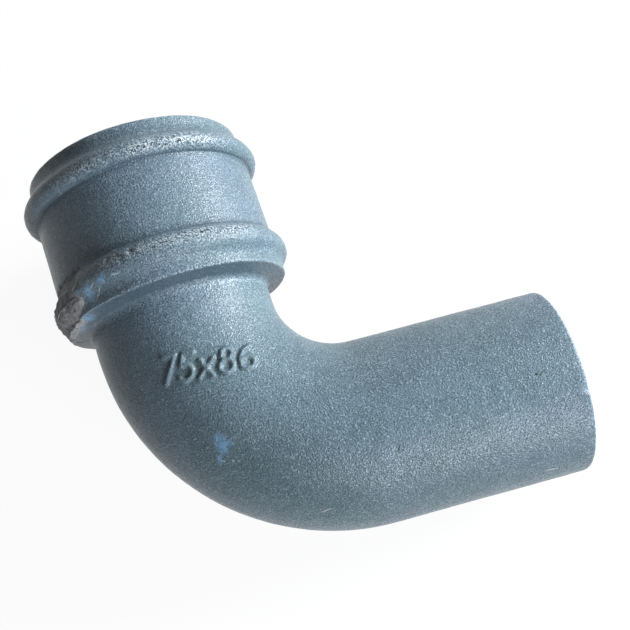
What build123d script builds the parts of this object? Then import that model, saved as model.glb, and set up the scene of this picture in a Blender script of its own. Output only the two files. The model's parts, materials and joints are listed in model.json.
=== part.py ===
from build123d import *
from math import asin, atan2, cos, hypot, radians, sin, tan
import os

# Cast iron rainwater pipe bend: a beaded socket, a turn of just under a right angle and a
# plain spigot, cast in one piece. It lies on its side as it comes to rest. The whole spigot
# and the socket's lower bead touch the ground, which tips the socket's mouth up a little.
#
# Frame, in mm: +Z is up and +X runs along the spigot's axis, out of its end. The origin is
# the centre of the socket's seat, where the end of the next pipe comes to a stop.

# Pipe: a 3 inch bore
pipe_bore = 76.0
pipe_wall = 3.5
bend_radius = 69.5
included_angle = 94.0
neck_length = 10.3
spigot_length = 87.5

# Inside of the socket
joint_clearance = 4.0
socket_depth = 64.0
seat_thickness = 10.0

# Outside of the socket, from the foot up to the lip. Each bead has a round shoulder towards
# the socket's body. On its other side it runs out in a soft S-curve, into the foot or the lip.
underside_rise = 2.1
foot_length = 2.8
foot_curve = 8.2
foot_swell = 0.6
lower_shoulder = 8.0
socket_wall = 5.5
bead_height = 4.7
upper_shoulder = 4.9
lip_curve = 9.6
lip_set_back = 1.0
lip_length = 4.5

# Small radii of the casting
mouth_round = 1.2
foot_round = 0.8
neck_round = 2.5
seat_round = 0.8
spigot_round = 1.5

# Radii that follow from the sizes above
pipe_radius = pipe_bore / 2 + pipe_wall
socket_bore_radius = pipe_radius + joint_clearance
body_radius = socket_bore_radius + socket_wall
foot_radius = body_radius + foot_swell
lip_radius = body_radius - lip_set_back
crest_radius = body_radius + bead_height

# Heights along the socket's axis, counted from where the two centre lines cross
tangent_length = bend_radius * tan(radians(180 - included_angle) / 2)
neck_top = tangent_length + neck_length
seat = neck_top + seat_thickness
mouth = seat + socket_depth
foot_edge = neck_top + underside_rise
foot_top = foot_edge + foot_length
lower_crest = foot_top + foot_curve
lip_foot = mouth - lip_length
upper_crest = lip_foot - lip_curve

# An S-curve is two equal arcs. At rest the lower bead stands on the upper arc of its S-curve,
# level with the spigot's underside, and that gives the slope of the socket's axis and the
# tilt of the bend's own plane.
foot_drop = crest_radius - foot_radius
crest_round = (foot_curve**2 + foot_drop**2) / (4 * foot_drop)
crest_ring = crest_radius - crest_round
slope = asin((crest_round - pipe_radius) / hypot(lower_crest, crest_ring))
slope += atan2(crest_ring, lower_crest)
arm = radians(included_angle)
tilt = asin(sin(slope) / sin(arm))

# Both of these planes hold the two centre lines and start where they cross. The spigot runs
# along the x of the bend's plane, and the socket's axis along the y of the socket's plane.
toward_mouth = Vector(cos(arm), sin(arm) * cos(tilt), sin(arm) * sin(tilt))
crossing = toward_mouth * -seat
side = Vector(0, -sin(tilt), cos(tilt))
bend_plane = Plane(origin=crossing, x_dir=(1, 0, 0), z_dir=side)
socket_plane = Plane(origin=crossing, x_dir=toward_mouth.cross(side), z_dir=side)
seat_plane = Plane(origin=(0, 0, 0), z_dir=toward_mouth)


def bead(end_radius, end, crest, shoulder):
    """A bead in the wall's outline: an S-curve from its end to its crest, and a round
    shoulder from there to the body"""
    way = 1 if crest > end else -1
    middle = ((end_radius + crest_radius) / 2, (end + crest) / 2)
    TangentArc((end_radius, end), middle, tangent=(0, way))
    TangentArc((crest_radius, crest), middle, tangent=(0, -way))
    TangentArc((crest_radius, crest), (body_radius, crest + way * shoulder), tangent=(0, way))


with BuildPart() as pipe_bend:
    # Outside of the bend and the spigot
    with BuildLine(bend_plane) as centre_line:
        FilletPolyline(
            (seat * cos(arm), seat * sin(arm)),
            (0, 0),
            (tangent_length + spigot_length, 0),
            radius=bend_radius,
        )
    with BuildSketch(seat_plane):
        Circle(pipe_radius)
    sweep(path=centre_line.line)

    # Neck and socket, turned about the socket's axis. The outline climbs the outside from
    # the neck to the mouth, and comes back down the bore to the seat.
    with BuildSketch(socket_plane) as wall:
        with BuildLine():
            Polyline(
                (0, tangent_length),
                (pipe_radius, tangent_length),
                (pipe_radius, neck_top),
                (foot_radius, foot_edge),
                (foot_radius, foot_top),
            )
            bead(foot_radius, foot_top, lower_crest, lower_shoulder)
            Line(
                (body_radius, lower_crest + lower_shoulder),
                (body_radius, upper_crest - upper_shoulder),
            )
            bead(lip_radius, lip_foot, upper_crest, upper_shoulder)
            Polyline(
                (lip_radius, lip_foot),
                (lip_radius, mouth),
                (socket_bore_radius, mouth),
                (socket_bore_radius, seat),
                (0, seat),
                (0, tangent_length),
            )
        make_face()
        for radius, height, rounding in (
            (pipe_radius, neck_top, neck_round),
            (foot_radius, foot_edge, foot_round),
            (lip_radius, mouth, mouth_round),
            (socket_bore_radius, mouth, mouth_round),
            (socket_bore_radius, seat, seat_round),
        ):
            fillet(wall.vertices().sort_by_distance((radius, height))[0], rounding)
    revolve(axis=Axis(crossing, toward_mouth))

    # Waterway, from the seat to the spigot's end
    with BuildSketch(seat_plane):
        Circle(pipe_bore / 2)
    sweep(path=centre_line.line, mode=Mode.SUBTRACT)

    # Both edges of the spigot's end
    fillet(pipe_bend.edges().group_by(Axis.X)[-1], min(spigot_round, 0.45 * pipe_wall))

pipe_bend.part.label = "pipe_bend"
os.makedirs("parts", exist_ok=True)
export_step(pipe_bend.part, "parts/pipe_bend.step")
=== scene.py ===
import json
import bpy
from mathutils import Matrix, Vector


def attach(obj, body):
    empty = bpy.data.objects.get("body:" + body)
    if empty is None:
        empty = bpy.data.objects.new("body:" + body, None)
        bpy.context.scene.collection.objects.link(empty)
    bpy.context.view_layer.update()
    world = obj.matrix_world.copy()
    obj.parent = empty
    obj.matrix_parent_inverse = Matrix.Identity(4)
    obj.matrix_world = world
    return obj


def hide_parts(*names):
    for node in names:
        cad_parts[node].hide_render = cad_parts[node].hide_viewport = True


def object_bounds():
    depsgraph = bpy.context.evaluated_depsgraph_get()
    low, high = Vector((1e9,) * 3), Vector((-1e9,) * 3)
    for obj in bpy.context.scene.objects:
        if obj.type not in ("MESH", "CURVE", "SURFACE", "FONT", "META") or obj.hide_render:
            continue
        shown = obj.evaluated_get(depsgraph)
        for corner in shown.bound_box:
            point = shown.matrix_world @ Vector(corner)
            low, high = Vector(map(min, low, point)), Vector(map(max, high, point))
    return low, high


bl_info = {
    "name": "Cast iron rainwater bend",
    "version": (1, 0, 0),
    "blender": (4, 5, 0),
    "location": "View3D > Sidebar > Pipe Bend",
    "description": "A primed cast iron pipe bend with a beaded socket, as it comes from the foundry",
    "category": "Object",
}

from cmath import exp, phase
from math import atan2, ceil, cos, pi, radians, sin, tan

import bpy
import numpy as np
from bpy.props import FloatProperty, FloatVectorProperty, PointerProperty, StringProperty
from bpy.types import NodeSocket, Operator, Panel, PropertyGroup
from mathutils import Matrix, Vector, noise

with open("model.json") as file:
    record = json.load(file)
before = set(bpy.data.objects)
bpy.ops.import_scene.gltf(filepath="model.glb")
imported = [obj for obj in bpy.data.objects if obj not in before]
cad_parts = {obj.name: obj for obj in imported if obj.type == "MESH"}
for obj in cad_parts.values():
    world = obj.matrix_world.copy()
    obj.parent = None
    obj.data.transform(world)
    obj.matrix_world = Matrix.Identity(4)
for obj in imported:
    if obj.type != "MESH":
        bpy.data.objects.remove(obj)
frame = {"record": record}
cad_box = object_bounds()

MM = 0.001
NODE = "pipe_bend"


def length(name, description, millimetres):
    """A length property, with its default given in millimetres"""
    return FloatProperty(
        name=name,
        description=description,
        default=millimetres * MM,
        min=0.0,
        unit="LENGTH",
        subtype="DISTANCE",
        precision=5,
    )


def power(name, description, watts):
    """A lamp's power property"""
    return FloatProperty(name=name, description=description, default=watts, min=0.0, unit="POWER")


def linear(hex_colour):
    """An sRGB hex colour as a linear colour with full alpha"""
    channels = [int(hex_colour[start : start + 2], 16) / 255 for start in (1, 3, 5)]
    return (*(c / 12.92 if c <= 0.04045 else ((c + 0.055) / 1.055) ** 2.4 for c in channels), 1.0)


def colour(name, description, hex_colour):
    """A colour property, with its default given as an sRGB hex colour"""
    return FloatVectorProperty(
        name=name,
        description=description,
        default=linear(hex_colour),
        size=4,
        min=0.0,
        max=1.0,
        subtype="COLOR",
    )


# Properties


class CastingSizes(PropertyGroup):
    """Sizes of the wall that the frame's mounts don't give"""

    bend_radius: length("Bend radius", "Radius of the centre line round the bend", 69.5)
    pipe_wall: length("Pipe wall", "Thickness of the pipe's wall", 3.5)
    seat_thickness: length("Seat thickness", "From the socket's seat down to the neck", 10.0)
    underside_rise: length("Underside rise", "How far the foot's underside climbs", 2.1)
    foot_length: length("Foot length", "Plain band at the foot of the socket", 2.8)
    foot_curve: length("Foot curve", "S-curve from the foot up to the lower bead's crest", 8.2)
    foot_swell: length("Foot swell", "How far the foot stands out from the socket's body", 0.6)
    lower_shoulder: length("Lower shoulder", "From the lower bead's crest to the body", 8.0)
    socket_depth: length("Socket depth", "From the mouth down to the seat", 64.0)
    socket_wall: length("Socket wall", "Thickness of the socket's wall", 5.5)
    bead_height: length("Bead height", "How far each bead stands out", 4.7)
    upper_shoulder: length("Upper shoulder", "From the upper bead's crest to the body", 4.9)
    lip_curve: length("Lip curve", "S-curve from the upper bead's crest to the lip", 9.6)
    lip_set_back: length("Lip set-back", "How far the lip lies behind the socket's body", 1.0)
    lip_length: length("Lip length", "Plain band at the mouth", 4.5)
    mouth_round: length("Mouth round", "Radius on the edges of the mouth", 1.2)
    foot_round: length("Foot round", "Radius on the edge of the foot", 0.8)
    neck_round: length("Neck round", "Radius where the foot meets the neck", 2.5)
    seat_round: length("Seat round", "Radius round the seat", 0.8)
    spigot_round: length("Spigot round", "Radius on both edges of the spigot's end", 1.5)
    crease: length("Crease", "Radius where a bead meets the wall", 0.35)


class SurfaceSizes(PropertyGroup):
    """Relief that the sand mould and the foundry left on the casting"""

    numerals: StringProperty(
        name="Numerals", description="Plain raised size numerals on the bend", default="75x86"
    )
    numeral_height: length("Numeral height", "Height of a raised numeral", 11.2)
    numeral_pitch: length("Numeral pitch", "Distance from one numeral to the next", 8.1)
    numeral_relief: length("Numeral relief", "How far the numerals stand out", 1.15)
    numeral_stroke: length("Numeral stroke", "Width of a numeral's stroke at its foot", 2.9)
    wave_depth: length("Wave depth", "Depth of the slow unevenness of the wall", 0.3)
    pebble_depth: length("Pebble depth", "Depth of the lumps left by the mould", 0.09)
    seam_height: length("Seam height", "Height of the mould's parting line", 0.16)
    gate_break: length("Gate break", "Roughness of the broken gate", 0.7)


class FinishColours(PropertyGroup):
    """Colours of the primer and of the marks on it"""

    primer: colour("Primer", "Blue-grey transit primer", "#697e8f")
    primer_green: colour("Greener primer", "Thin primer over the iron", "#657d88")
    # Pale primer is also painted along the edges as highlights
    pale_primer_and_highlight: colour("Pale primer", "Primer on the tips of the sand grain", "#a9c0cd")
    # Deep primer is also painted as shade into the creases and under the foot
    deep_primer_and_shade: colour("Deep primer", "Primer pooled between the grains", "#3f525f")
    broken_iron: colour("Broken iron", "Bare grey iron of the broken gate", "#b4b5b9")
    crayon: colour("Blue smear", "Light blue paint rubbed off on the casting", "#8cbdea")
    scuff: colour("Scuff", "Pale scratches from handling", "#c3d2da")
    pit: colour("Pit", "Dark blow holes", "#1d2429")


class StudioSettings(PropertyGroup):
    """Camera and lamps"""

    lens: FloatProperty(
        name="Lens",
        description="Focal length on a 36 mm sensor, in millimetres",
        default=53.5,
        min=10.0,
    )
    camera_place: FloatVectorProperty(
        name="Camera place",
        description="Where the camera stands, in the frame",
        default=(31.1 * MM, -185.0 * MM, 395.3 * MM),
        unit="LENGTH",
        subtype="TRANSLATION",
        precision=4,
    )
    camera_turn: FloatVectorProperty(
        name="Camera turn",
        description="The camera's rotation",
        default=(radians(21.847), radians(1.868), radians(-14.987)),
        unit="ROTATION",
        subtype="EULER",
    )
    key_power: power("Key power", "Power of the large lamp on the right", 20.0)
    rim_power: power("Rim power", "Power of the low lamp behind", 1.2)
    front_power: power("Front power", "Power of the lamp over the front", 7.5)
    sky: FloatProperty(
        name="Sky", description="Strength of the even light from all round", default=0.01, min=0.0
    )


# Shape of the casting


class Casting:
    """The centre line as the frame's mounts give it, and the outline of the wall around it.

    A station is a distance along the centre line from the spigot's end. A clock angle is
    counted round the pipe from the side that faces up, towards the heel of the bend.
    """

    def __init__(self, sizes):
        mounts = {mount["name"]: mount for mount in frame["record"]["mounts"]}
        socket, spigot = mounts["socket"], mounts["spigot"]
        up_socket = Vector(socket["axis"]).normalized()
        out_spigot = Vector(spigot["axis"]).normalized()
        seat_centre = Vector(socket["pos_m"])
        shoulder = Vector(spigot["pos_m"])

        seat = (seat_centre.y - shoulder.y) / up_socket.y
        crossing = seat_centre - up_socket * seat
        self.turn = pi - out_spigot.angle(up_socket)
        tangent = sizes.bend_radius * tan(self.turn / 2)
        side = out_spigot.cross(up_socket).normalized()
        inward = side.cross(out_spigot)

        self.sizes = sizes
        self.pipe_radius = spigot["dims"]["r_mm"] * MM
        self.socket_bore = socket["dims"]["r_mm"] * MM
        self.side = np.array(side)
        self.out_spigot = np.array(out_spigot)
        self.inward = np.array(inward)
        self.pivot = np.array(crossing + out_spigot * tangent + inward * sizes.bend_radius)
        self.bend_start = (shoulder - crossing).length + sizes.spigot_round - tangent
        self.bend_end = self.bend_start + sizes.bend_radius * self.turn
        self.seat = self.bend_end + seat - tangent

        self.neck_top = self.seat - sizes.seat_thickness
        self.mouth = self.seat + sizes.socket_depth
        self.foot_edge = self.neck_top + sizes.underside_rise
        self.foot_top = self.foot_edge + sizes.foot_length
        self.lower_crest = self.foot_top + sizes.foot_curve
        self.lower_crease = self.lower_crest + sizes.lower_shoulder
        self.lip_foot = self.mouth - sizes.lip_length
        self.upper_crest = self.lip_foot - sizes.lip_curve
        self.upper_crease = self.upper_crest - sizes.upper_shoulder
        self.bore = self.pipe_radius - sizes.pipe_wall
        self.body = self.socket_bore + sizes.socket_wall
        self.foot = self.body + sizes.foot_swell
        self.lip = self.body - sizes.lip_set_back
        self.crest = self.body + sizes.bead_height

    def path(self, stations):
        """Centre, direction of the heel and direction of travel at each station"""
        turned = np.clip((stations - self.bend_start) / self.sizes.bend_radius, 0, self.turn)[:, None]
        heel = -np.sin(turned) * self.out_spigot - np.cos(turned) * self.inward
        along = -np.cos(turned) * self.out_spigot + np.sin(turned) * self.inward
        straight = np.minimum(stations - self.bend_start, 0) + np.maximum(stations - self.bend_end, 0)
        centre = self.pivot + heel * self.sizes.bend_radius + along * straight[:, None]
        return centre, heel, along

    def spot(self, station, clock, radius=None):
        """A point on the outside, and the directions round, along and out of the wall there"""
        centre, heel, along = (Vector(row[0]) for row in self.path(np.array([station])))
        out = (Vector(self.side) * np.cos(clock) + heel * np.sin(clock)).normalized()
        return centre + out * (radius or self.pipe_radius), along.cross(out), along, out


def bent(start, way, rise, radius, swing, step):
    """Points on an arc that leaves its start along the pipe, with both ends"""
    parts = ceil(radius * swing / step)
    angles = [swing * part / parts for part in range(parts + 1)]
    return [start + radius * (way * sin(angle) + 1j * rise * (1 - cos(angle))) for angle in angles]


def bead(end, crest, shoulder, body, step):
    """Points on a bead, from the wall at its end to its crest and down its shoulder to the body.

    An S-curve of two equal arcs climbs to the crest, and one arc makes the shoulder.
    """
    way = 1 if crest.real > end.real else -1
    run, rise = abs(crest.real - end.real), crest.imag - end.imag
    radius = (run**2 + rise**2) / (4 * rise)
    swing = 2 * atan2(rise, run)
    points = bent(end, way, 1, radius, swing, step)[:-1]
    points += reversed(bent(crest, -way, -1, radius, swing, step))
    drop = crest.imag - body
    radius = (shoulder**2 + drop**2) / (2 * drop)
    return points + bent(crest, way, -1, radius, atan2(shoulder, radius - drop), step)[1:]


def rounded(corners):
    """The outline with an arc in each corner that has a radius, as points and steps"""
    points = []
    for index, (here, radius, step) in enumerate(corners):
        if not radius:
            points.append((here, step))
            continue
        back = corners[index - 1][0] - here
        ahead = corners[(index + 1) % len(corners)][0] - here
        back, ahead = back / abs(back), ahead / abs(ahead)
        half = abs(phase(ahead / back)) / 2
        middle = (back + ahead) / abs(back + ahead)
        centre = here + middle * radius / sin(half)
        start = here + back * radius / tan(half)
        finish = here + ahead * radius / tan(half)
        swing = phase((finish - centre) / (start - centre))
        parts = ceil(abs(swing) * radius / max(ARC_SHARE * radius, LEAST_ARC_STEP))
        arc = [centre + (start - centre) * exp(1j * swing * part / parts) for part in range(parts + 1)]
        points += [(point, step) for point in arc]
    return points


def divided(points):
    """The outline's points, with the runs between them cut into steps"""
    cut = []
    for (start, step), (finish, _) in zip(points, points[1:] + points[:1]):
        parts = max(1, ceil(abs(finish - start) / step))
        cut += [start + (finish - start) * part / parts for part in range(parts)]
    return np.array(cut)


# Spacing of the mesh: fine where the numerals and the broken gate are
PLAIN_STEP = 1.85 * MM
FINE_STEP = 0.55 * MM
BEAD_STEP = 0.95 * MM
GATE_STEP = 0.7 * BEAD_STEP
INNER_STEP = 4.0 * MM
# An arc of a small radius is cut into steps of a share of it, down to a least step
ARC_SHARE = 0.3
LEAST_ARC_STEP = 0.12 * MM
SEAT_INNER_ROUND = 0.3 * MM
NUMERAL_STATIONS = (148 * MM, 182 * MM)
NUMERAL_CLOCKS = (radians(-37), radians(29))
GATE_CLOCKS = (radians(36), radians(112))


def wall_outline(casting):
    """Closed outline of the wall as complex numbers: the station, and i times the radius.

    It runs up the outside from the spigot to the mouth, and back down the bore.
    """
    sizes = casting.sizes
    corners = [
        (casting.pipe_radius * 1j, sizes.spigot_round, PLAIN_STEP),
        (NUMERAL_STATIONS[0] + casting.pipe_radius * 1j, 0, FINE_STEP),
        (NUMERAL_STATIONS[1] + casting.pipe_radius * 1j, 0, PLAIN_STEP),
        (casting.neck_top + casting.pipe_radius * 1j, sizes.neck_round, BEAD_STEP),
        (casting.foot_edge + casting.foot * 1j, sizes.foot_round, BEAD_STEP),
    ]
    lower = bead(
        casting.foot_top + casting.foot * 1j,
        casting.lower_crest + casting.crest * 1j,
        sizes.lower_shoulder,
        casting.body,
        BEAD_STEP,
    )
    upper = bead(
        casting.lip_foot + casting.lip * 1j,
        casting.upper_crest + casting.crest * 1j,
        sizes.upper_shoulder,
        casting.body,
        BEAD_STEP,
    )
    corners += [(point, 0, BEAD_STEP) for point in lower[:-1]]
    corners += [(lower[-1], sizes.crease, PLAIN_STEP), (upper[-1], sizes.crease, BEAD_STEP)]
    corners += [(point, 0, BEAD_STEP) for point in upper[-2::-1]]
    corners += [
        (casting.mouth + casting.lip * 1j, sizes.mouth_round, BEAD_STEP),
        (casting.mouth + casting.socket_bore * 1j, sizes.mouth_round, INNER_STEP),
        (casting.seat + casting.socket_bore * 1j, sizes.seat_round, BEAD_STEP),
        (casting.seat + casting.bore * 1j, SEAT_INNER_ROUND, INNER_STEP),
        (casting.bore * 1j, sizes.spigot_round, BEAD_STEP),
    ]
    return divided(rounded(corners))


def clock_angles(casting):
    """Angles of the mesh's columns round the pipe, closer together in the fine zones"""
    full = NUMERAL_CLOCKS[0] + 2 * pi
    zones = (
        (*NUMERAL_CLOCKS, FINE_STEP),
        (NUMERAL_CLOCKS[1], GATE_CLOCKS[0], PLAIN_STEP),
        (*GATE_CLOCKS, GATE_STEP),
        (GATE_CLOCKS[1], full, PLAIN_STEP),
    )
    angles = [
        np.linspace(start, finish, ceil((finish - start) * casting.pipe_radius / step), endpoint=False)
        for start, finish, step in zones
    ]
    return np.concatenate(angles)


def smooth(value, low, high):
    """0 up to low and 1 from high, with a smooth rise between"""
    share = np.clip((value - low) / (high - low), 0, 1)
    return share * share * (3 - 2 * share)


def rough(points, grain, seed, octaves=2):
    """Noise from about -1 to 1 at each point, with lumps of the grain's size"""
    shift = Vector((seed, 2 * seed, 3 * seed))
    flat = points.reshape(-1, 3) / grain
    values = [noise.fractal(Vector(point) + shift, 1.0, 2.0, octaves) for point in flat]
    return np.array(values).reshape(points.shape[:-1])


# Numerals


def bow(centre, across, up, start, finish):
    """Points on part of an ellipse, by angles in degrees"""
    count = ceil(abs(finish - start) / 20)
    angles = [radians(start + (finish - start) * part / count) for part in range(count + 1)]
    return [(centre[0] + across * np.cos(angle), centre[1] + up * np.sin(angle)) for angle in angles]


# Strokes of each character, for a height of 1
STROKES = {
    "7": [[(0.0, 1.0), (0.5, 1.0), (0.18, 0.0)]],
    "5": [[(0.47, 1.0), (0.07, 1.0), (0.04, 0.56), *bow((0.22, 0.31), 0.27, 0.3, 110, -145)]],
    "x": [[(0.02, 0.0), (0.5, 0.68)], [(0.02, 0.68), (0.5, 0.0)]],
    "8": [bow((0.25, 0.76), 0.19, 0.24, 0, 360), bow((0.25, 0.27), 0.24, 0.27, 0, 360)],
    "6": [bow((0.25, 0.27), 0.24, 0.26, -180, 180) + [(0.02, 0.55), (0.12, 0.83), (0.34, 1.0)]],
}
# Foot of the first numeral as station and clock angle, and the directions of the line and of
# the numerals' height, each by its parts round the pipe and along it
NUMERAL_START = (170.2 * MM, radians(26.9))
NUMERAL_LINE = np.array((-0.891, -0.453))
NUMERAL_UP = np.array((-0.61, 0.79))


def stroke_distance(x, y, strokes):
    """Distance of each place from the nearest of the strokes"""
    nearest = np.full(x.shape, np.inf)
    for stroke in strokes:
        for (x0, y0), (x1, y1) in zip(stroke, stroke[1:]):
            dx, dy = x1 - x0, y1 - y0
            share = np.clip(((x - x0) * dx + (y - y0) * dy) / (dx * dx + dy * dy), 0, 1)
            nearest = np.minimum(nearest, np.hypot(x - x0 - share * dx, y - y0 - share * dy))
    return nearest


def numeral_relief(casting, surface, stations, clocks):
    """Height of the raised numerals over the wall"""
    radius, bend_radius = casting.pipe_radius, casting.sizes.bend_radius
    start_station, start_clock = NUMERAL_START
    round_pipe = (clocks - start_clock) * radius
    along_pipe = (stations - start_station) * (bend_radius + radius * np.sin(clocks)) / bend_radius
    to_line = np.linalg.inv(np.column_stack((NUMERAL_LINE, NUMERAL_UP)))
    x, y = np.tensordot(to_line, np.stack((round_pipe, along_pipe)), 1)
    height, stroke = surface.numeral_height, surface.numeral_stroke
    distance = np.full(x.shape, np.inf)
    for place, character in enumerate(surface.numerals):
        offset = place * surface.numeral_pitch
        own = stroke_distance((x - offset) / height, y / height, STROKES[character]) * height
        distance = np.minimum(distance, own)
    return surface.numeral_relief * (1 - smooth(distance, 0.12 * stroke, 0.5 * stroke))


# Broken gate, where the iron ran into the mould: on the upper side of the heel, from the foot
# up over the lower bead. The profile gives the station and the radius of the break, in mm.
GATE_PROFILE = np.array(
    (
        (203.0, 50.4),
        (205.2, 51.2),
        (209.2, 53.6),
        (213.0, 54.6),
        (216.5, 54.4),
        (220.5, 51.8),
        (222.5, 50.6),
    )
)
GATE_CENTRE = radians(72)
GATE_HALF_ANGLE = radians(34)
GATE_STATIONS = (202.5 * MM, 224.5 * MM)
GATE_NARROW_STATIONS = (203 * MM, 211 * MM)
GATE_EDGE_GRAIN = 7 * MM
GATE_BREAK_GRAIN = 3.2 * MM


def gate_cover(points, stations, clocks):
    """1 on the broken gate, 0 away from it, with a ragged edge between"""
    ragged = rough(points, GATE_EDGE_GRAIN, 4.0)
    narrowed = 0.7 + 0.3 * smooth(stations, *GATE_NARROW_STATIONS)
    round_pipe = np.abs(clocks - GATE_CENTRE) / (GATE_HALF_ANGLE * narrowed) + 0.15 * ragged
    low, high = GATE_STATIONS
    along_pipe = np.abs(stations - (low + high) / 2) / ((high - low) / 2)
    return (1 - smooth(round_pipe, 0.8, 1.0)) * (1 - smooth(along_pipe, 0.9, 1.02))


# Slow unevenness of the mould, its lumps, and the width of its parting line
WAVE_GRAIN = 34 * MM
PEBBLE_GRAIN = 5.5 * MM
SEAM_WIDTH = 0.7 * MM

# The frosty patch lies round this clock angle, on the shoulders of both beads
FROST_CLOCK = radians(-10)
LOWER_FROST_RISE = 3.5 * MM
UPPER_FROST_DROP = 1.0 * MM

# How far the masks reach along the outline
CREASE_REACH = 1.1 * MM
EDGE_REACH = 1.0 * MM
FROST_REACH = 3.2 * MM
# Below the neck's top, where the painted highlight runs along the neck's fillet
NECK_HIGHLIGHT_DROP = 2.2 * MM

DENTS = (
    # station, clock angle, half width and depth, in mm and degrees: a nick in the spigot's edge,
    # a blow hole in the spigot, a few in the lower bead and one on the bend
    (0.9, 14.5, 1.7, 0.9),
    (19.7, -1.1, 0.9, 0.7),
    (219.1, 9.3, 1.2, 0.8),
    (217.0, 14.5, 0.9, 0.5),
    (219.5, 21.0, 0.9, 0.5),
    (121.0, 40.0, 0.8, 0.3),
)


def build_mesh(casting, surface):
    """The casting as one closed mesh, with masks for its finish"""
    outline = wall_outline(casting)
    clocks = clock_angles(casting)
    stations, radii = outline.real, outline.imag
    tangent = np.roll(outline, -1) - np.roll(outline, 1)
    facing = 1j * tangent / abs(tangent)

    centre, heel, along = casting.path(stations)
    grid = np.ones((len(outline), len(clocks)))
    station_grid, radius_grid = stations[:, None] * grid, radii[:, None] * grid
    clock_grid = clocks * grid
    out = np.cos(clocks)[None, :, None] * casting.side + np.sin(clocks)[None, :, None] * heel[:, None]
    points = centre[:, None] + radii[:, None, None] * out
    normals = facing.imag[:, None, None] * out + (facing.real[:, None] * along)[:, None]

    turned_out = (facing.imag > -0.5) & (radii > casting.bore + 0.5 * casting.sizes.pipe_wall)
    outside = (turned_out | (facing.real < -0.9)).astype(float)[:, None] * grid

    gate = gate_cover(points, station_grid, clock_grid) * outside
    broken = rough(points, GATE_BREAK_GRAIN, 9.0, 3)
    break_radius = np.interp(station_grid, *(GATE_PROFILE.T * MM))
    lump = gate * (break_radius - radius_grid)

    waves = rough(points, WAVE_GRAIN, 1.0)
    pebbles = rough(points, PEBBLE_GRAIN, 2.0)
    relief = -surface.wave_depth * (0.5 - 0.5 * waves) - surface.pebble_depth * (0.8 - pebbles)
    relief += gate * surface.gate_break * (broken - 0.2)
    for seam in (pi / 2, 3 * pi / 2):
        off_seam = np.abs((clock_grid - seam + pi) % (2 * pi) - pi) * radius_grid
        relief += surface.seam_height * np.exp(-((off_seam / SEAM_WIDTH) ** 2))
    relief *= outside
    first, last = NUMERAL_STATIONS
    on_bend = (station_grid > first) & (station_grid < last) & (outside > 0)
    relief += np.where(on_bend, numeral_relief(casting, surface, station_grid, clock_grid), 0)
    for station, clock, width, depth in DENTS:
        away = np.hypot(station_grid - station * MM, (clock_grid - radians(clock)) * radius_grid)
        relief -= outside * depth * MM * np.exp(-((away / (width * MM)) ** 2))

    points = points + lump[..., None] * out + relief[..., None] * normals

    rows, columns = grid.shape
    row, column = np.meshgrid(np.arange(rows), np.arange(columns), indexing="ij")
    next_row, next_column = (row + 1) % rows, (column + 1) % columns
    corners = (row, column), (next_row, column), (next_row, next_column), (row, next_column)
    faces = np.stack([r * columns + c for r, c in corners], axis=-1).reshape(-1, 4)

    mesh = bpy.data.meshes.new("pipe_bend_casting")
    mesh.from_pydata(points.reshape(-1, 3).tolist(), [], faces.tolist())
    mesh.shade_smooth()

    # Places on the outline where shade is painted into the creases
    creases = [
        casting.neck_top + casting.pipe_radius * 1j,
        casting.lower_crease + casting.body * 1j,
        casting.upper_crease + casting.body * 1j,
    ]
    # Edges that are worn pale and also painted with highlights
    edges = [
        casting.pipe_radius * 1j,
        casting.foot_edge + casting.foot * 1j,
        # Painted highlight along the neck's fillet
        casting.neck_top - NECK_HIGHLIGHT_DROP + casting.pipe_radius * 1j,
        casting.mouth + casting.lip * 1j,
        casting.mouth + casting.socket_bore * 1j,
    ]
    # Painted shade on the foot's underside, from the neck out to short of the foot's edge
    within = abs(stations - (casting.neck_top + casting.foot_edge) / 2) < 1.3 * MM
    under = within * smooth(radii, casting.pipe_radius + 0.6 * MM, casting.pipe_radius + 2 * MM)
    under *= 1 - smooth(radii, casting.foot - 1.2 * MM, casting.foot - 0.4 * MM)
    shoulder = [
        casting.lower_crest + LOWER_FROST_RISE + casting.crest * 1j,
        casting.upper_crest - UPPER_FROST_DROP + casting.crest * 1j,
    ]
    frosted = smooth(np.cos(clock_grid - FROST_CLOCK), 0.6, 0.9) * outside
    masks = {
        "gate": gate,
        # Painted shade in the creases and on the foot's underside
        "crease": np.maximum(nearness(outline, creases, CREASE_REACH), under)[:, None] * grid,
        # Edges worn pale, with painted highlights along them
        "edge": nearness(outline, edges, EDGE_REACH)[:, None] * grid,
        "frost": nearness(outline, shoulder, FROST_REACH)[:, None] * frosted,
        "outside": outside,
    }
    for name, values in masks.items():
        mesh.attributes.new(name, "FLOAT", "POINT").data.foreach_set("value", values.ravel())
    mesh.update()
    return mesh


def nearness(outline, places, reach):
    """1 at the places on the outline, falling to 0 over the reach"""
    away = np.min([abs(outline - place) for place in places], axis=0)
    return np.exp(-((away / reach) ** 2))


# Materials


def add_node(tree, kind, inputs=None, **settings):
    """Adds a node with its settings. Each input is a value or the socket that feeds it."""
    node = tree.nodes.new(kind)
    for name, value in settings.items():
        setattr(node, name, value)
    for name, value in (inputs or {}).items():
        if isinstance(value, NodeSocket):
            tree.links.new(value, node.inputs[name])
        else:
            node.inputs[name].default_value = value
    return node


def new_tree(material):
    """The material's node tree, empty but for its output"""
    material.use_nodes = True
    tree = material.node_tree
    tree.nodes.clear()
    return tree, add_node(tree, "ShaderNodeOutputMaterial")


def blended(tree, share, below, above):
    """Colour below, covered by colour above where the share is 1"""
    mix = add_node(tree, "ShaderNodeMix", {0: share, 6: below, 7: above}, data_type="RGBA")
    return mix.outputs[2]


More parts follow.
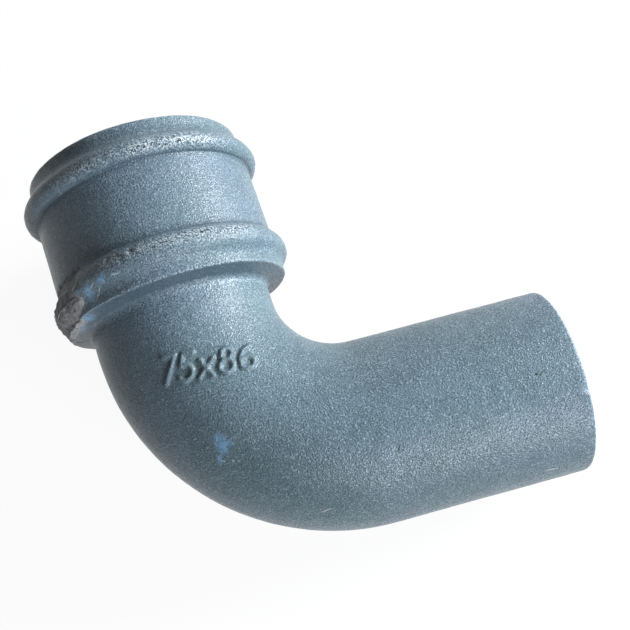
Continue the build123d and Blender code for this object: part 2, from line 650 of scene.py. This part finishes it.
def ranged(tree, value, low, high, bottom=0.0, top=1.0):
    """Value turned to run smoothly from bottom to top between low and high"""
    inputs = {0: value, 1: low, 2: high, 3: bottom, 4: top}
    return add_node(tree, "ShaderNodeMapRange", inputs, interpolation_type="SMOOTHSTEP").outputs[0]


def product(tree, first, second):
    """Two masks multiplied"""
    return add_node(tree, "ShaderNodeMath", {0: first, 1: second}, operation="MULTIPLY").outputs[0]


def mark(tree, casting, places, station, clock, size, turn=0.0, radius=None, soft=0.5):
    """Mask of one mark on the casting, 1 inside its oval.

    Station in mm, clock angle and turn in degrees, and size the mark's length and width in mm.
    With no turn the length runs along the pipe.
    """
    centre, across, along, out = casting.spot(station * MM, radians(clock), radius and radius * MM)
    axes = Matrix((along, -across, out)).transposed() @ Matrix.Rotation(radians(turn), 3, "Z")
    inputs = {
        "Vector": places,
        "Location": centre,
        "Rotation": axes.to_euler(),
        "Scale": (size[0] / 2 * MM, size[1] / 2 * MM, 6 * MM),
    }
    local = add_node(tree, "ShaderNodeMapping", inputs, vector_type="TEXTURE").outputs[0]
    reach = add_node(tree, "ShaderNodeVectorMath", {0: local}, operation="LENGTH").outputs["Value"]
    return ranged(tree, reach, 1.0, 1.0 - soft)


def together(tree, masks):
    """The largest of several masks"""
    result, *others = masks
    for other in others:
        result = add_node(tree, "ShaderNodeMath", {0: result, 1: other}, operation="MAXIMUM").outputs[0]
    return result


def marks(tree, casting, places, rows, soft=0.5):
    """Mask of several marks, each a row of mark's values from the station on"""
    return together(tree, [mark(tree, casting, places, *row, soft=soft) for row in rows])


def background_rays(tree):
    """1 for the rays that show the white background: the camera's, and the reflected and
    transmitted ones, so that metal and glass show it too"""
    rays = add_node(tree, "ShaderNodeLightPath").outputs
    return together(tree, [rays["Is Camera Ray"], rays["Is Glossy Ray"], rays["Is Transmission Ray"]])


def grain(tree, places, millimetres, detail=2.0, roughness=0.5, distortion=0.0):
    """Noise whose lumps are that many millimetres across"""
    inputs = {
        "Vector": places,
        "Scale": 1 / (millimetres * MM),
        "Detail": detail,
        "Roughness": roughness,
        "Distortion": distortion,
    }
    return add_node(tree, "ShaderNodeTexNoise", inputs).outputs["Fac"]


# Marks on the casting: station in mm, clock angle in degrees, length and width in mm, turn in
# degrees, and the radius in mm where the wall isn't the plain pipe's
SMEARS = (
    (142.8, 28.9, (14, 8), 132),
    (143.2, 26.9, (11, 5), -156),
    (141.5, 38.0, (7, 3), 121),
    (209.5, 36.0, (14, 6), 153, 53.6),
    (213.2, 26.0, (8, 4.5), 122, 55.0),
    (203.5, 48.9, (14, 6), 92, 49.5),
    (203.5, 63.9, (24, 3.5), 89, 50.0),
)
# Lumps of the noise that makes the smears ragged, and how far it shifts them, in mm
SMEAR_GRAIN = 3
SMEAR_SHIFT = 4
SCRATCHES = (
    (107.8, 54.0, (6, 1.1), 35),
    (19.8, 64.9, (9, 1.2), -8),
    (180.7, 63.8, (8.6, 0.6), 117),
    (137.6, 34.3, (2.0, 1.4), 0),
    (135.9, 32.8, (1.4, 1.0), 0),
    (140.3, 37.6, (2.6, 1.0), 30),
    (222.8, 17.1, (3.6, 0.8), -101, 51.6),
    (212.2, 19.2, (6.0, 0.7), -96, 54.7),
    (208.7, 32.2, (9.0, 0.7), 128, 52.7),
    (212.3, 31.7, (5.0, 0.6), 113, 54.6),
    (217.1, 32.9, (7.5, 0.6), 175, 54.7),
)
RUBS = (
    (258.2, 35.4, (9.0, 0.7), 128, 53.2),
    (253.8, 56.2, (8.0, 0.7), 121, 51.0),
    (237.0, 57.2, (7.0, 0.7), 169, 51.0),
    (231.1, 59.1, (6.5, 0.6), 157, 51.0),
)
DARK_MARKS = (
    (82.7, 19.0, (4.0, 0.7), 60),
    (19.9, -1.4, (1.6, 1.3), 0),
    (219.1, 9.3, (2.0, 1.5), 0, 55.0),
)


def primed_cast_iron(casting, finish):
    """Grey cast iron from a green sand mould, sprayed with one thin coat of blue-grey transit
    primer. The sand leaves a fine grain that sparkles where the semi-gloss primer covers it, and
    the coat is thin enough to vary a little in colour. Handling has worn the crests and edges
    pale, and the edges also carry painted highlights. Shade is painted into the creases and under
    the foot."""
    material = bpy.data.materials.new("primed_cast_iron")
    tree, output = new_tree(material)
    places = add_node(tree, "ShaderNodeTexCoord").outputs["Object"]

    def mask(name):
        return add_node(tree, "ShaderNodeAttribute", attribute_name=name).outputs["Fac"]

    # Sand grain: grit of 0.7 mm, lumps of 2 mm where grains cling together, and slow unevenness.
    # The grit of such sand is nearer 0.3 mm, which is too fine to show.
    grit = grain(tree, places, 0.7, detail=1.0, roughness=0.5)
    lumps = grain(tree, places, 2.0, detail=2.0, roughness=0.6)
    patches = grain(tree, places, 14.0, detail=4.0, roughness=0.65, distortion=0.4)
    shades = grain(tree, places, 45.0, detail=3.0)

    # Primer, greener where it is thin, deep between the grains and pale on their tips
    base = blended(tree, ranged(tree, shades, 0.38, 0.62), finish.primer, finish.primer_green)
    base = blended(tree, ranged(tree, patches, 0.6, 0.35, 0.0, 0.25), base, finish.deep_primer_and_shade)
    base = blended(tree, ranged(tree, grit, 0.48, 0.33, 0.0, 0.75), base, finish.deep_primer_and_shade)
    tips = product(tree, ranged(tree, grit, 0.54, 0.68), ranged(tree, lumps, 0.4, 0.6, 0.2, 1.0))
    base = blended(tree, product(tree, tips, 0.6), base, finish.pale_primer_and_highlight)

    # Pale specks and small dark holes on the beads' shoulders, round the upper side
    frost = product(tree, mask("frost"), ranged(tree, patches, 0.3, 0.5, 0.35, 1.0))
    specks = product(tree, frost, ranged(tree, grit, 0.45, 0.6))
    base = blended(tree, product(tree, specks, 0.8), base, finish.scuff)
    holes = product(tree, frost, ranged(tree, grain(tree, places, 1.1, detail=0.0), 0.36, 0.3))
    base = blended(tree, holes, base, finish.pit)

    # Edges worn pale, with painted highlights along them
    worn_and_highlit = product(tree, mask("edge"), ranged(tree, grit, 0.42, 0.62))
    base = blended(tree, product(tree, worn_and_highlit, 0.55), base, finish.pale_primer_and_highlight)
    # Painted shade: the creases and the foot's underside darkened
    base = blended(tree, product(tree, mask("crease"), 0.5), base, finish.deep_primer_and_shade)

    # Paint smears, from being stacked against blue-painted castings
    inputs = {"Vector": places, "Scale": 1 / (SMEAR_GRAIN * MM), "Detail": 3.0}
    shaken = add_node(tree, "ShaderNodeTexNoise", inputs)
    offset = add_node(
        tree,
        "ShaderNodeVectorMath",
        {0: shaken.outputs["Color"], 1: (0.5, 0.5, 0.5)},
        operation="SUBTRACT",
    )
    moved = add_node(
        tree,
        "ShaderNodeVectorMath",
        {0: offset.outputs[0], 1: (SMEAR_SHIFT * MM,) * 3, 2: places},
        operation="MULTIPLY_ADD",
    ).outputs[0]
    smears = marks(tree, casting, moved, SMEARS, soft=0.8)
    outside = mask("outside")
    smeared = product(tree, product(tree, smears, outside), ranged(tree, lumps, 0.3, 0.6, 0.3, 1.0))
    base = blended(tree, product(tree, smeared, 0.85), base, finish.crayon)

    # Fine pale scratches, fainter rubs and dark ticks
    scratches = marks(tree, casting, places, SCRATCHES)
    base = blended(tree, product(tree, scratches, product(tree, outside, 0.7)), base, finish.scuff)
    rubs = marks(tree, casting, places, RUBS)
    base = blended(tree, product(tree, rubs, product(tree, outside, 0.3)), base, finish.scuff)
    ticks = marks(tree, casting, places, DARK_MARKS)
    base = blended(tree, product(tree, ticks, outside), base, finish.pit)

    # Broken gate: dull bare iron with a crystalline break
    uneven = product(tree, mask("gate"), ranged(tree, lumps, 0.25, 0.6, 0.7, 1.3))
    gate = ranged(tree, uneven, 0.35, 0.7)
    facets = grain(tree, places, 2.2, detail=4.0, roughness=0.7)
    iron = blended(tree, ranged(tree, facets, 0.33, 0.5), finish.deep_primer_and_shade, finish.broken_iron)
    base = blended(tree, gate, base, iron)

    # Primer shinier on the grain's tips, and duller iron on the gate
    gloss = ranged(tree, grit, 0.35, 0.65, 0.46, 0.26)
    gloss = add_node(tree, "ShaderNodeMix", {0: gate, 2: gloss, 3: 0.62}, data_type="FLOAT").outputs[0]

    deep = add_node(
        tree,
        "ShaderNodeMath",
        {0: lumps, 1: 0.5, 2: product(tree, grit, 0.9)},
        operation="MULTIPLY_ADD",
    ).outputs[0]
    bump = add_node(
        tree, "ShaderNodeBump", {"Height": deep, "Strength": 0.6, "Distance": 0.6 * MM}
    ).outputs["Normal"]

    # The IOR is a little under a paint film's usual 1.5
    surface = add_node(
        tree,
        "ShaderNodeBsdfPrincipled",
        {"Base Color": base, "Roughness": gloss, "Normal": bump, "Metallic": 0.0, "IOR": 1.4},
    )
    tree.links.new(surface.outputs[0], output.inputs["Surface"])
    return material


def studio_paper():
    """Matt background paper, seamless. It shows as white to the camera and in reflections, and
    keeps the object's shadow. Its own grey holds back the light that it throws on the object."""
    material = bpy.data.materials.new("studio_paper")
    tree, output = new_tree(material)
    paper = add_node(tree, "ShaderNodeBsdfDiffuse", {"Color": linear("#565758")})
    places = add_node(tree, "ShaderNodeTexCoord").outputs["Object"]
    away = add_node(tree, "ShaderNodeVectorMath", {0: places}, operation="LENGTH").outputs["Value"]
    # The lamps add to the glow near the object, so it is weaker there. The distance is in metres.
    strength = ranged(tree, away, 0.3, 1.1, 0.93, 1.0)
    glow = add_node(tree, "ShaderNodeEmission", {"Color": linear("#ffffff"), "Strength": strength})
    lit = add_node(tree, "ShaderNodeAddShader", {0: paper.outputs[0], 1: glow.outputs[0]})
    layers = {0: background_rays(tree), 1: paper.outputs[0], 2: lit.outputs[0]}
    both = add_node(tree, "ShaderNodeMixShader", layers)
    tree.links.new(both.outputs[0], output.inputs["Surface"])
    return material


# Operators

# In metres
FLOOR_HALF = 4.0
CLIP_START = 0.01
# Lamps: name, width and height, and place from the middle of the CAD box
LAMPS = (
    ("key", (0.5, 0.35), (0.9, 0.15, 0.42)),
    ("rim", (0.45, 0.35), (0.15, 0.95, 0.24)),
    ("front", (0.45, 0.35), (0.36, -0.84, 0.36)),
)


class CASTING_OT_pipe_bend(Operator):
    """Makes the primed casting in place of its CAD solid"""

    bl_idname = "casting.pipe_bend"
    bl_label = "Make the pipe bend"

    def execute(self, context):
        scene = context.scene
        casting = Casting(scene.casting_sizes)
        mesh = build_mesh(casting, scene.surface_sizes)
        mesh.materials.append(primed_cast_iron(casting, scene.finish_colours))
        piece = bpy.data.objects.new("pipe_bend_casting", mesh)
        context.scene.collection.objects.link(piece)
        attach(piece, "root")
        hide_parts(NODE)
        return {"FINISHED"}


class CASTING_OT_studio(Operator):
    """Sets out the floor, the lamps, the sky and the camera"""

    bl_idname = "casting.studio"
    bl_label = "Set out the studio"

    def execute(self, context):
        studio = context.scene.studio_settings
        low, high = (Vector(corner) for corner in cad_box)
        middle = (low + high) / 2

        floor_mesh = bpy.data.meshes.new("floor")
        signs = ((-1, -1), (1, -1), (1, 1), (-1, 1))
        corners = [(x * FLOOR_HALF, y * FLOOR_HALF, low.z) for x, y in signs]
        floor_mesh.from_pydata(corners, [], [(0, 1, 2, 3)])
        floor_mesh.materials.append(studio_paper())
        floor = bpy.data.objects.new("floor", floor_mesh)
        context.scene.collection.objects.link(floor)

        camera_data = bpy.data.cameras.new("camera")
        camera_data.lens = studio.lens
        camera_data.clip_start = CLIP_START
        camera = bpy.data.objects.new("camera", camera_data)
        camera.location = studio.camera_place
        camera.rotation_euler = studio.camera_turn
        context.scene.collection.objects.link(camera)
        context.scene.camera = camera

        for name, size, place in LAMPS:
            lamp_data = bpy.data.lights.new(name, "AREA")
            lamp_data.shape = "RECTANGLE"
            lamp_data.energy = getattr(studio, f"{name}_power")
            lamp_data.size, lamp_data.size_y = size
            lamp = bpy.data.objects.new(name, lamp_data)
            lamp.location = middle + Vector(place)
            lamp.rotation_euler = Vector(place).to_track_quat("Z", "Y").to_euler()
            context.scene.collection.objects.link(lamp)

        world = bpy.data.worlds.new("studio")
        world.use_nodes = True
        tree = world.node_tree
        tree.nodes.clear()
        inputs = {0: background_rays(tree), 2: studio.sky, 3: 1.0}
        strength = add_node(tree, "ShaderNodeMix", inputs, data_type="FLOAT").outputs[0]
        sky = add_node(tree, "ShaderNodeBackground", {"Color": linear("#ffffff"), "Strength": strength})
        output = add_node(tree, "ShaderNodeOutputWorld")
        tree.links.new(sky.outputs[0], output.inputs["Surface"])
        context.scene.world = world
        context.scene.view_settings.view_transform = "Standard"
        return {"FINISHED"}


class CASTING_PT_panel(Panel):
    """Buttons and sizes of the casting"""

    bl_idname = "CASTING_PT_panel"
    bl_label = "Pipe Bend"
    bl_space_type = "VIEW_3D"
    bl_region_type = "UI"
    bl_category = "Pipe Bend"

    def draw(self, context):
        layout = self.layout
        for operator in OPERATORS:
            layout.operator(operator.bl_idname)
        for name, group in GROUPS.items():
            box = layout.box()
            box.label(text=group.__doc__)
            for setting in group.__annotations__:
                box.prop(getattr(context.scene, name), setting)


OPERATORS = (CASTING_OT_pipe_bend, CASTING_OT_studio)
GROUPS = {
    "casting_sizes": CastingSizes,
    "surface_sizes": SurfaceSizes,
    "finish_colours": FinishColours,
    "studio_settings": StudioSettings,
}


def register():
    for cls in (*GROUPS.values(), *OPERATORS, CASTING_PT_panel):
        bpy.utils.register_class(cls)
    for name, group in GROUPS.items():
        setattr(bpy.types.Scene, name, PointerProperty(type=group))


def unregister():
    for name in GROUPS:
        delattr(bpy.types.Scene, name)
    for cls in (CASTING_PT_panel, *OPERATORS, *GROUPS.values()):
        bpy.utils.unregister_class(cls)


def main():
    """Makes the pipe bend and its studio"""
    register()
    bpy.ops.casting.pipe_bend()
    bpy.ops.casting.studio()


if __name__ == "__main__":
    main()
